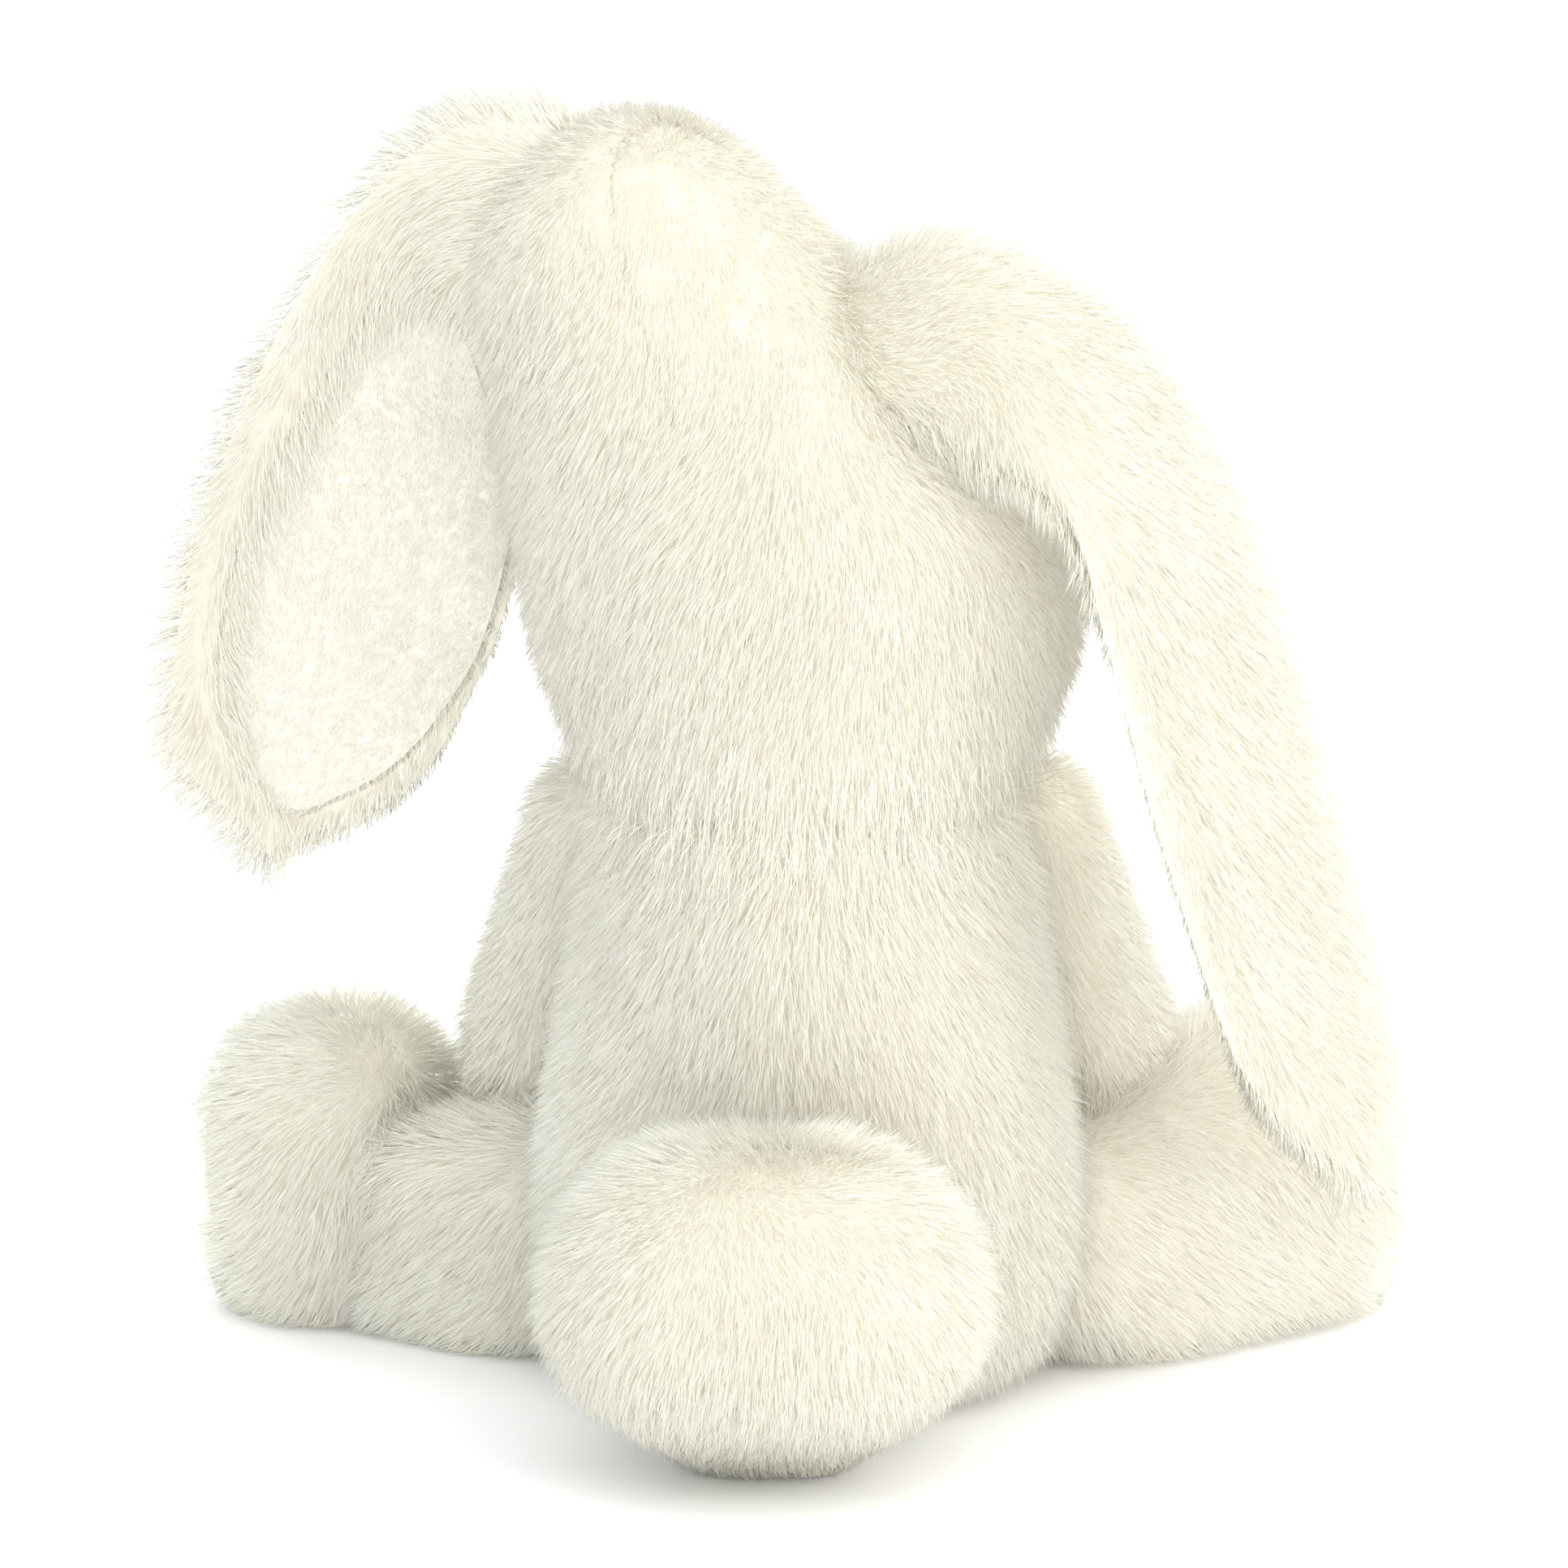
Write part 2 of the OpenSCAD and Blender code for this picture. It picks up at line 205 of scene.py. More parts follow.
def cloth(name, dark, light, scale, bump, wave=False, roughness=0.9):
    """A woven or felted cloth: fine texture in colour, roughness and bump."""
    mat = plain(name, light, roughness)
    tree = mat.node_tree
    shader = tree.nodes["Principled BSDF"]
    coords = node(tree, "ShaderNodeTexCoord")
    if wave:
        fine = node(tree, "ShaderNodeTexWave", wave_type="BANDS", bands_direction="DIAGONAL")
        fine.inputs["Distortion"].default_value = 2.0
        fine.inputs["Detail"].default_value = 2.0
    else:
        fine = node(tree, "ShaderNodeTexNoise")
        fine.inputs["Detail"].default_value = 5.0
    fine.inputs["Scale"].default_value = scale
    broad = node(tree, "ShaderNodeTexNoise")
    broad.inputs["Scale"].default_value = scale / CLOUD_SIZE
    join = node(tree, "ShaderNodeMath", operation="MULTIPLY")
    ramp = node(tree, "ShaderNodeValToRGB")
    for stop, place, tone in zip(ramp.color_ramp.elements, (0.12, 0.42), (dark, light)):
        stop.position = place
        stop.color = (*tone, 1)
    rough = node(tree, "ShaderNodeMapRange")
    rough.inputs["To Min"].default_value = roughness - 0.1
    rough.inputs["To Max"].default_value = min(1.0, roughness + 0.08)
    relief = node(tree, "ShaderNodeBump")
    relief.inputs["Strength"].default_value = bump
    relief.inputs["Distance"].default_value = RELIEF
    links = tree.links
    links.new(coords.outputs["Object"], fine.inputs["Vector"])
    links.new(coords.outputs["Object"], broad.inputs["Vector"])
    links.new(fine.outputs["Fac"], join.inputs[0])
    links.new(broad.outputs["Fac"], join.inputs[1])
    links.new(join.outputs["Value"], ramp.inputs["Fac"])
    links.new(ramp.outputs["Color"], shader.inputs["Base Color"])
    links.new(fine.outputs["Fac"], rough.inputs["Value"])
    links.new(rough.outputs["Result"], shader.inputs["Roughness"])
    links.new(fine.outputs["Fac"], relief.inputs["Height"])
    links.new(relief.outputs["Normal"], shader.inputs["Normal"])
    return mat


# Each strand of pile takes one of these: its lower half a darker, warmer tone, painted shade for
# the depth of the pile, and its tip a pale one.
ROOT_SHADE_TONES = [plain("pile_root_shade_cream", (0.85, 0.825, 0.715)),
              plain("pile_root_shade_warm", (0.84, 0.81, 0.69))]
TIP_TONES = [plain("pile_tip_ivory", (0.875, 0.855, 0.755), 0.85),
             plain("pile_tip_cream", (0.865, 0.84, 0.73), 0.85),
             plain("pile_tip_pale", (0.885, 0.87, 0.785), 0.85)]
# The nap's lower half is a little darker, painted shade inside the nap, and its tip is paler.
VELOUR_TONES = [plain("velour_root_shade", (0.87, 0.85, 0.755)),
                plain("velour_tip", (0.885, 0.865, 0.78), 0.85)]
BACKING = cloth("backing_knit", (0.83, 0.79, 0.68), (0.885, 0.86, 0.765), 900, 0.4)
LINING = cloth("lining_velour", (0.86, 0.83, 0.74), (0.945, 0.925, 0.86), 1400, 0.3)
FILL = cloth("fibre_fill", (0.80, 0.80, 0.79), (0.94, 0.94, 0.93), 420, 0.9)
BAG = cloth("pellet_bag_cotton", (0.70, 0.68, 0.62), (0.90, 0.88, 0.83), 1500, 0.6, wave=True)
FACE_THREAD = cloth("face_thread", (0.62, 0.36, 0.35), (0.82, 0.56, 0.54), 2400, 0.6, wave=True,
                    roughness=0.6)
CREAM_THREAD = cloth("gather_thread", (0.72, 0.68, 0.58), (0.90, 0.87, 0.79), 2400, 0.7, wave=True,
                     roughness=0.7)
WASHER = cloth("washer_plastic", (0.80, 0.80, 0.78), (0.90, 0.90, 0.88), 700, 0.1, roughness=0.45)
EYE = cloth("eye_plastic", (0.012, 0.008, 0.007), (0.022, 0.014, 0.011), 60, 0.02, roughness=0.12)


# ---- meshes -------------------------------------------------------------------
def new_object(name, verts, faces, materials):
    me = bpy.data.meshes.new(name)
    me.from_pydata(np.asarray(verts).tolist(), [], faces)
    me.update()
    for m in materials:
        me.materials.append(m)
    me.polygons.foreach_set("use_smooth", np.ones(len(me.polygons), bool))
    ob = bpy.data.objects.new(name, me)
    scene.collection.objects.link(ob)
    return ob


# The most corners taken from one group, and the floor's distance from any cloth.
MOST_CORNERS = 4000
CLOTH_GAP = 0.0008


def cad_points(*nodes):
    """The corners of those CAD nodes' meshes, at rest."""
    found = []
    for n in nodes:
        me = frame["nodes"][n].data
        co = np.empty(len(me.vertices) * 3, np.float32)
        me.vertices.foreach_get("co", co)
        found.append(co.reshape(-1, 3).astype(float))
    return np.concatenate(found)


def hulls_merged(name, groups, voxel, relax):
    """One smooth closed skin over the hulls of several groups of points."""
    bm = bmesh.new()
    for points in groups:
        part = bmesh.new()
        for p in points[:: max(1, len(points) // MOST_CORNERS)]:
            part.verts.new(p)
        done = bmesh.ops.convex_hull(part, input=part.verts)
        extra = [g for g in done["geom_interior"] if isinstance(g, bmesh.types.BMVert)]
        bmesh.ops.delete(part, geom=extra, context="VERTS")
        loose = [v for v in part.verts if not v.link_faces]
        bmesh.ops.delete(part, geom=loose, context="VERTS")
        piece = bpy.data.meshes.new("part")
        part.to_mesh(piece)
        part.free()
        bm.from_mesh(piece)
        bpy.data.meshes.remove(piece)
    me = bpy.data.meshes.new(name)
    bm.to_mesh(me)
    bm.free()
    ob = bpy.data.objects.new(name, me)
    scene.collection.objects.link(ob)
    mod = ob.modifiers.new("remesh", "REMESH")
    mod.mode = "VOXEL"
    mod.voxel_size = voxel
    mod = ob.modifiers.new("relax", "SMOOTH")
    mod.factor = 0.5
    mod.iterations = relax
    shaped = ob.evaluated_get(bpy.context.evaluated_depsgraph_get())
    done = bpy.data.meshes.new_from_object(shaped)
    bpy.data.objects.remove(ob)
    bpy.data.meshes.remove(me)
    return done


class Skin:
    """A surface as arrays: corners, triangles and corner normals."""

    def __init__(self, verts, tris, polys=None):
        self.v = np.asarray(verts, float)
        self.t = np.asarray(tris, int)
        self.polys = polys
        self.refresh()

    @classmethod
    def of(cls, me):
        co = np.empty(len(me.vertices) * 3, np.float32)
        me.vertices.foreach_get("co", co)
        me.calc_loop_triangles()
        tri = np.empty(len(me.loop_triangles) * 3, np.int32)
        me.loop_triangles.foreach_get("vertices", tri)
        polys = [tuple(p.vertices) for p in me.polygons]
        return cls(co.reshape(-1, 3), tri.reshape(-1, 3), polys)

    def refresh(self):
        a, b, c = (self.v[self.t[:, i]] for i in range(3))
        cross = np.cross(b - a, c - a)
        self.area = np.linalg.norm(cross, axis=1) / 2
        self.n = np.zeros_like(self.v)
        for i in range(3):
            np.add.at(self.n, self.t[:, i], cross)
        self.n = unit(self.n)

    def rest_on_floor(self):
        """Flattens whatever would lie below the floor."""
        self.v[:, 2] = np.maximum(self.v[:, 2], CLOTH_GAP)
        self.refresh()

    def middles(self):
        return self.v[self.t].mean(axis=1)

    def roots(self, per_mm2, rng, keep=None):
        """Evenly random points on the triangles, with their normals."""
        area = self.area if keep is None else self.area * keep
        count = int(area.sum() * 1e6 * per_mm2)
        pick = rng.choice(len(area), count, p=area / area.sum())
        u = np.sqrt(rng.random(count))
        w = rng.random(count)
        bary = np.stack([1 - u, u * (1 - w), u * w], 1)
        tri = self.t[pick]
        at = (self.v[tri] * bary[:, :, None]).sum(1)
        normal = unit((self.n[tri] * bary[:, :, None]).sum(1))
        return at, normal


def panel_object(name, skin, chosen, materials, thickness=0.0012):
    """The chosen faces of a skin as a cloth panel with its own thickness."""
    used = sorted({i for k in chosen for i in skin.polys[k]})
    index = {old: new for new, old in enumerate(used)}
    outer = skin.v[used]
    inner = outer - skin.n[used] * thickness
    faces = [tuple(index[i] for i in skin.polys[k]) for k in chosen]
    edges = {}
    for f in faces:
        for a, b in zip(f, f[1:] + f[:1]):
            edges[(a, b)] = True
    rim = [(a, b) for a, b in edges if (b, a) not in edges]
    n = len(used)
    back = [tuple(i + n for i in reversed(f)) for f in faces]
    sides = [(b, a, a + n, b + n) for a, b in rim]
    return new_object(name, np.concatenate([outer, inner]), faces + back + sides, materials)


# ---- pile ---------------------------------------------------------------------
PILE = 9.5 * MM
# Strands to a square millimetre of long pile, and the most that one piece has.
DENSITY = 3.2
MOST_STRANDS = 60000
# A strand's lean from the normal, in radians.
LAY = 0.8
FLOOR_GAP = 0.0003


def along_surface(way, normal):
    """The part of a direction that lies square to the normal."""
    return way - (way * normal).sum(1, keepdims=True) * normal


def towards_clumps(roots, points, size, rng):
    """For each point, the index of the leading strand of the nearest tuft."""
    leaders = rng.choice(len(roots), max(1, int(len(roots) / size)), replace=False)
    tree = KDTree(len(leaders))
    for k, i in enumerate(leaders):
        tree.insert(roots[i], k)
    tree.balance()
    return np.array([leaders[tree.find(p)[1]] for p in roots])


def pile(name, at, normal, comb, length, rng, lay=LAY, width=0.18, tones=None,
         clump=0.14, clump_size=45, stray=0.03, curl=0.3, softness=0.92):
    """Strands that grow from the cloth, lie towards comb and gather in tufts. Each is a
    closed spindle, bent at its middle, and is shaded partly as the surface it covers."""
    length = np.broadcast_to(np.asarray(length, float), (len(at),))
    lay = np.broadcast_to(np.asarray(lay, float), (len(at),))
    at, normal, comb, length, lay = (x[:MOST_STRANDS] for x in (at, normal, comb, length, lay))
    count = len(at)
    long = length * rng.normal(1, 0.12, count)
    thick = width * MM * rng.uniform(0.8, 1.2, count)
    wild = rng.random(count) < stray
    long = np.where(wild, long * 1.15, long)
    thick = np.where(wild, thick * 0.6, thick)
    comb = unit(comb)
    flow = along_surface(comb, normal)
    weak = np.clip(0.5 - np.linalg.norm(flow, axis=1, keepdims=True), 0, None)
    spare = along_surface(BACKWARDS, normal)
    flow = unit(flow + 1.5 * weak * spare)
    flow = unit(flow + rng.normal(0, 0.18, (count, 3)))
    tilt = np.clip(rng.normal(0, 0.14, count) + lay, 0.05, 1.4)[:, None]
    tilt = np.where(wild[:, None], tilt * 0.6, tilt)
    first = unit(normal * np.cos(tilt) + flow * np.sin(tilt))
    second = unit(first + curl * flow + rng.normal(0, 0.10, (count, 3)))
    mid = at + first * (long * 0.5)[:, None]
    tip = mid + second * (long * 0.5)[:, None]
    lead = towards_clumps(at, tip, clump_size, rng)
    pull = np.where(wild, 0.0, clump * rng.uniform(0.3, 1.1, count))[:, None]
    tip = tip + (tip[lead] - tip) * pull
    mid = mid + (mid[lead] - mid) * pull * 0.35
    for p, gap in ((at, 0.0), (mid, FLOOR_GAP), (tip, FLOOR_GAP)):
        low = p[:, 2] < gap
        p[low, 2] = gap + rng.uniform(0, 0.0006, low.sum())
    along = unit(tip - at)
    face = unit(along_surface(normal, along))
    side = np.cross(along, face)
    roll = rng.uniform(0, 2 * math.pi, count)[:, None]
    verts, shades = [at], [unit(normal * softness + face * (1 - softness))]
    for k in range(3):
        angle = roll + 2 * math.pi * k / 3
        out = side * np.cos(angle) - face * np.sin(angle)
        like = (out * normal).sum(1, keepdims=True)
        share = softness * np.clip(0.5 + 0.8 * like, 0, 1)
        verts.append(mid + out * thick[:, None] / 2)
        shades.append(unit(normal * share + out * (1.001 - share)))
    verts.append(tip)
    shades.append(unit(normal * softness + along * 0.5))
    verts, shades = np.stack(verts, 1), np.stack(shades, 1)
    low_z = verts[:, :, 2] < FLOOR_GAP / 2
    verts[low_z, 2] = FLOOR_GAP / 2
    pattern = np.array([(0, 2, 1), (0, 3, 2), (0, 1, 3), (1, 2, 4), (2, 3, 4), (3, 1, 4)])
    loops = (np.arange(count)[:, None, None] * 5 + pattern[None]).reshape(-1)
    me = bpy.data.meshes.new(name)
    me.vertices.add(count * 5)
    me.vertices.foreach_set("co", verts.reshape(-1).astype(np.float32))
    me.loops.add(len(loops))
    me.loops.foreach_set("vertex_index", loops.astype(np.int32))
    me.polygons.add(count * 6)
    me.polygons.foreach_set("loop_start", np.arange(0, len(loops), 3, dtype=np.int32))
    # The lower faces take the darker root tones, painted shade deep in the pile; the tips take a
    # pale tone.
    roots, tips = tones or (ROOT_SHADE_TONES, TIP_TONES)
    for m in (*roots, *tips):
        me.materials.append(m)
    mood = drift(at, 0.02, 5, 0.5)[:, 0] + rng.normal(0, 0.5, count)
    lower = np.where(mood < 0, len(roots) - 1, 0)
    rank = np.clip(((mood + 1) / 2 * len(tips)).astype(int), 0, len(tips) - 1)
    slots = np.repeat(np.stack([lower, len(roots) + rank], 1), 3, axis=1).reshape(-1)
    me.polygons.foreach_set("material_index", slots.astype(np.int32))
    me.update(calc_edges=True)
    me.polygons.foreach_set("use_smooth", np.ones(count * 6, bool))
    store = me.attributes.new("custom_normal", "FLOAT_VECTOR", "POINT")
    store.data.foreach_set("vector", shades.reshape(-1).astype(np.float32))
    me.update()
    ob = bpy.data.objects.new(name, me)
    ob.visible_shadow = False
    scene.collection.objects.link(ob)
    return ob


# The short nap of the linings and soles.
NAP = dict(lay=0.6, width=0.2, clump=0.1, stray=0.01)


def settle(ob, body, slot, *nodes):
    """Rides a finished piece on its body and hides the CAD nodes it stands for. The slot is not
    used.
    """
    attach(ob, body)
    if nodes:
        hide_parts(*nodes)


def poly_middles(skin):
    return np.array([skin.v[list(p)].mean(axis=0) for p in skin.polys])


def filling(name, skin, body, node_name, seed, depth=0.003):
    """Loose fibre under a cover: the cover's shape drawn in by depth and made lumpy."""
    lumps = drift(skin.v, 0.016, seed, 0.0009)
    inner = skin.v - skin.n * depth + lumps
    inner[:, 2] = np.maximum(inner[:, 2], 0.003)
    ob = new_object(name, inner, skin.polys, [FILL])
    settle(ob, body, "fibre_fill", node_name)


def anywhere(at, normal):
    return np.ones(len(at), bool)


def covered(body, skin, panels, comb, length, seed, density=DENSITY, keep_root=anywhere,
            lay=lambda at: LAY):
    """Cloth panels over a skin, each with its own pile. panels maps a name to (node, mask of
    places); comb, length and keep_root are functions of the places and their normals."""
    middles = poly_middles(skin)
    tri_middles = skin.middles()
    for k, (name, (node_name, mask)) in enumerate(panels.items()):
        chosen = np.flatnonzero(mask(middles))
        settle(panel_object(name + "_cloth", skin, chosen, [BACKING]), body, "ivory_plush",
               node_name)
        rng = np.random.default_rng(seed + k)
        at, normal = skin.roots(density, rng, mask(tri_middles).astype(float))
        good = keep_root(at, normal)
        at, normal = at[good], normal[good]
        ob = pile(name + "_pile", at, normal, comb(at, normal), length(at, normal), rng,
                  lay=lay(at))
        settle(ob, body, "ivory_plush")


# ---- torso and neck -----------------------------------------------------------
TORSO_NODES = ["torso_back_left_panel", "torso_back_right_panel", "torso_belly_panel"]
neck_low_z, neck_high_z = (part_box("neck_gather_thread")[k][2] for k in (0, 1))
neck_z = (neck_low_z + neck_high_z) / 2
# The covers reach this far out at the neck, more at the nape, and lap over there.
NECK_FULL = 34 * MM
NAPE_FULL = 11 * MM
NAPE_LAP = 3.5 * MM
NECK_REACH = 0.055


def close_to_neck(at, near, far):
    """1 within near of the neck seam's height, and 0 beyond far or away from the neck."""
    beside = np.hypot(at[:, 0], at[:, 1]) < NECK_REACH
    return (1 - blend_step(np.abs(at[:, 2] - neck_z), near, far)) * beside


def flat_at_neck(at):
    """Pile lies flatter close to the neck seam, so that head and torso run together."""
    return LAY + 0.6 * close_to_neck(at, 0.004, 0.018)


def ragged(at, seed, most=1.1):
    """Uneven lengths close to the neck, so that no hem shows where head and torso meet."""
    near = close_to_neck(at, 0.006, 0.022)
    return 1 + near * np.random.default_rng(seed).uniform(-0.35, most, len(at))


def out_of_fold(at, normal):
    """No pile grows inside the nape fold, where the two covers press together."""
    fold_half, nape_from, steep = 0.012, 0.015, 0.62
    fold = ((np.abs(at[:, 2] - neck_z) < fold_half) & (at[:, 1] > nape_from)
            & (np.hypot(at[:, 0], at[:, 1]) < NECK_REACH))
    return ~(fold & (np.abs(normal[:, 2]) > steep))


def downwards(at, normal):
    """The torso's pile hangs, and flares out over the shoulders."""
    shoulder_low, shoulder_high = 0.100, 0.110
    flare = blend_step(at[:, 2], shoulder_low, shoulder_high)[:, None]
    outward = unit(at * np.array([1, 1, 0]))
    return -UP + outward * flare * 1.5 + drift(at, 0.035, 3, 0.2)


def even(length, pressed=0.35):
    """Pile length at each place: shorter where the toy rests on the floor."""
    def inner(at, normal):
        off_floor = blend_step(at[:, 2], 0.001, 0.014)
        uneven = 1 + drift(at, 0.03, 9, 0.06)[:, 0]
        return length * (pressed + (1 - pressed) * off_floor) * uneven
    return inner


def torso_length(at, normal):
    return even(PILE)(at, normal) * ragged(at, 73, 0.4)


def torso_lay(at):
    return 0.5 * (LAY + flat_at_neck(at))


def ring_points(radius, z, lap):
    """A ring round the neck, fuller at the nape than at the throat, and lapped over there."""
    turn = np.linspace(0, 2 * math.pi, 48, endpoint=False)
    nape = blend_step(np.sin(turn), -0.2, 1.0)
    back = radius + NAPE_FULL * nape
    return np.stack([radius * np.cos(turn), back * np.sin(turn), z + lap * nape], 1)


torso = Skin.of(hulls_merged("torso_form", [np.concatenate([
    cad_points(*TORSO_NODES), ring_points(NECK_FULL, neck_low_z, NAPE_LAP)])], 2.2 * MM, 4))
torso.rest_on_floor()
belly_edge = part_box("torso_belly_panel")[1][1]
seat_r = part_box("seat_base_panel")[1][0]


def seat_part(p):
    return (p[:, 2] < 0.002) & (np.hypot(p[:, 0], p[:, 1]) < seat_r)


covered("torso", torso, {
    "torso_back_left": ("torso_back_left_panel",
                        lambda p: (p[:, 1] > belly_edge) & (p[:, 0] > 0) & ~seat_part(p)),
    "torso_back_right": ("torso_back_right_panel",
                         lambda p: (p[:, 1] > belly_edge) & (p[:, 0] <= 0) & ~seat_part(p)),
    "torso_belly": ("torso_belly_panel", lambda p: (p[:, 1] <= belly_edge) & ~seat_part(p)),
}, downwards, torso_length, 100, keep_root=out_of_fold, lay=torso_lay)
seat = panel_object("seat_base_cloth", torso, np.flatnonzero(seat_part(poly_middles(torso))),
                    [BACKING], thickness=0.0008)
settle(seat, "torso", "ivory_plush", "seat_base_panel")
filling("torso_fill", torso, "torso", "torso_stuffing", 11)


def pouch(name, body, node_name, seed):
    """A cotton bag of pellets: a slumped ball with a pinched seam round it."""
    low, high = (np.array(x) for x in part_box(node_name))
    centre, radius = (low + high) / 2, (high - low)[0] / 2 * 0.94
    bm = bmesh.new()
    bmesh.ops.create_icosphere(bm, subdivisions=4, radius=1.0)
    ball = np.array([v.co[:] for v in bm.verts])
    faces = [tuple(v.index for v in f.verts) for f in bm.faces]
    bm.free()
    seam = np.exp(-(ball[:, 2] / 0.09) ** 2)
    size = radius * (1 + 0.035 * seam) + drift(ball, 0.35, seed, 0.012)[:, 0] * radius
    points = centre + ball * size[:, None] * np.array([1, 1, 0.94])
    ob = new_object(name, points, faces, [BAG])
    settle(ob, body, "pellet_bag_cotton", node_name)


pouch("seat_pellet_bag", "torso", "seat_pellet_pouch", 21)


def thread_ring(name, body, node_name, normal_axis):
    """A gathering thread: two twisted strands drawn into a ring."""
    low, high = (np.array(x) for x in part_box(node_name))
    centre = (low + high) / 2
    flat = [a for a in range(3) if a != normal_axis]
    section = (high - low)[normal_axis] / 4
    ring_r = (high - low)[flat[0]] / 2 - 2 * section
    turns, around, sides = 26, 360, 6
    verts, faces = [], []
    for strand in range(2):
        first = len(verts)
        for i in range(around):
            a = 2 * math.pi * i / around
            twist = turns * a + math.pi * strand
            for k in range(sides):
                b = 2 * math.pi * k / sides
                out = ring_r + section * 0.9 * math.cos(twist) + section * math.cos(b)
                lift = section * 0.9 * math.sin(twist) + section * math.sin(b)
                p = np.array(centre)
                p[flat[0]] += out * math.cos(a)
                p[flat[1]] += out * math.sin(a)
                p[normal_axis] += lift
                verts.append(p)
        for i in range(around):
            for k in range(sides):
                here, there = first + i * sides, first + (i + 1) % around * sides
                faces.append((here + k, here + (k + 1) % sides,
                              there + (k + 1) % sides, there + k))
    ob = new_object(name, verts, faces, [CREAM_THREAD])
    settle(ob, body, "gather_thread", node_name)


thread_ring("neck_thread", "neck", "neck_gather_thread", 2)
neck = Skin.of(hulls_merged("neck_form", [cad_points("neck_plug")], 0.8 * MM, 2))
plug = new_object("neck_fill", neck.v, neck.polys, [FILL])
settle(plug, "neck", "fibre_fill", "neck_plug")

# ---- head ---------------------------------------------------------------------
SIDES = ["head_left_panel", "head_right_panel", "head_centre_gusset"]
nod_axis = unit(joints["head_nod"]["axis"])
eye_left = box_centre("eye_left")
eye_right = box_centre("eye_right")
nose_at = box_centre("nose_stitching")
head_left = unit(eye_left - eye_right)
eyes_mid = (eye_left + eye_right) / 2
face_front = unit(np.cross(nod_axis, UP))
gusset_up = unit(np.cross(face_front, head_left))
neck_ring = ring_points(NECK_FULL + 0.5 * MM, neck_high_z + 1.2 * MM, -NAPE_LAP)
head = Skin.of(hulls_merged("head_form", [
    np.concatenate([cad_points(*SIDES), neck_ring]),
    cad_points("muzzle_panel")], 2.2 * MM, 7))
# Where the muzzle panel starts in front of the eyes, and the centre strip's half width.
MUZZLE_FROM = 0.004
HALF_GUSSET = 0.014


def across_head(p):
    return (p - eyes_mid) @ head_left


def forward_head(p):
    return (p - eyes_mid) @ face_front


def head_comb(at, normal):
    return -UP - face_front * 0.3 + drift(at, 0.04, 13, 0.22)


def far_from(at, place):
    return np.linalg.norm(at - place, axis=1)


def head_length(at, normal):
    """Shorter on the muzzle, round the eyes and nose, and on the crown."""
    crown_low, crown_high = 0.180, 0.205
    length = np.full(len(at), PILE)
    length *= 1 - 0.55 * blend_step(forward_head(at), 0.0, 0.022)
    for eye in (eye_left, eye_right):
        length *= 0.35 + 0.65 * blend_step(far_from(at, eye), 0.005, 0.016)
    length *= 0.4 + 0.6 * blend_step(far_from(at, nose_at), 0.006, 0.016)
    length *= 1 - 0.35 * blend_step(at[:, 2], crown_low, crown_high)
    return length * (1 + drift(at, 0.03, 19, 0.06)[:, 0]) * ragged(at, 71)


def off_face(at, normal):
    """No pile grows through the eyes or the nose."""
    nose_clear, eye_clear = 0.0058, 0.0056
    clear = far_from(at, nose_at) > nose_clear
    for eye in (eye_left, eye_right):
        clear &= far_from(at, eye) > eye_clear
    return clear & out_of_fold(at, normal)


covered("head", head, {
    "head_left": ("head_left_panel",
                  lambda p: (forward_head(p) <= MUZZLE_FROM) & (across_head(p) > HALF_GUSSET)),
    "head_right": ("head_right_panel",
                   lambda p: (forward_head(p) <= MUZZLE_FROM) & (across_head(p) < -HALF_GUSSET)),
    "head_centre": ("head_centre_gusset",
                    lambda p: (forward_head(p) <= MUZZLE_FROM)
                    & (np.abs(across_head(p)) <= HALF_GUSSET)),
    "muzzle": ("muzzle_panel", lambda p: forward_head(p) > MUZZLE_FROM),
}, head_comb, head_length, 200, keep_root=off_face, lay=flat_at_neck)
filling("head_fill", head, "head", "head_stuffing", 12)


def stitch(points, radius, sides=6):
    """A closed round thread along the points, over the face."""
    points = np.asarray(points)
    runs = unit(np.gradient(points, axis=0))
    side = unit(np.cross(runs, face_front))
    top = np.cross(side, runs)
    ring = [points + radius * (math.cos(a) * side + math.sin(a) * top)
            for a in np.linspace(0, 2 * math.pi, sides, endpoint=False)]
    verts = np.stack(ring, 1).reshape(-1, 3)
    faces = []
    for i in range(len(points) - 1):
        for k in range(sides):
            a, b = i * sides + k, i * sides + (k + 1) % sides
            faces.append((a, b, b + sides, a + sides))
    faces.append(tuple(range(sides))[::-1])
    faces.append(tuple(range(len(verts) - sides, len(verts))))
    return verts, faces


def stitched(name, lines, radius, node_name):
    """One piece of stitching from several threads."""
    verts, faces, first = [], [], 0
    for line in lines:
        v, f = stitch(line, radius)
        faces.extend(tuple(i + first for i in face) for face in f)
        verts.append(v)
        first += len(v)
    ob = new_object(name, np.concatenate(verts), faces, [FACE_THREAD])
    settle(ob, "head", "face_thread", node_name)


def on_face(x, z, lift):
    """The head's surface in front of a place given across and up from the nose."""
    start = nose_at + head_left * x + gusset_up * z
    rel = head.v - start
    off = along_surface(rel, face_front)
    in_front = rel @ face_front > -0.012
    near = np.argsort(np.linalg.norm(off, axis=1) - 0.5 * in_front)[:6]
    depth = (head.v[near] @ face_front).mean() - start @ face_front
    return start + face_front * (depth + lift)


NOSE_W, NOSE_H, SATIN_STEP = 0.0062, 0.0075, 0.00042
NOSE_TOP, NOSE_FOOT = 0.45 * NOSE_H, -0.55 * NOSE_H
LIP_DROP, LIP_W, LIP_SAG, LIP_TURN_UP = 0.0055, 0.0052, 0.0026, 0.0018
LIP_THREAD, LIP_LIFT = 0.00055, 0.0007


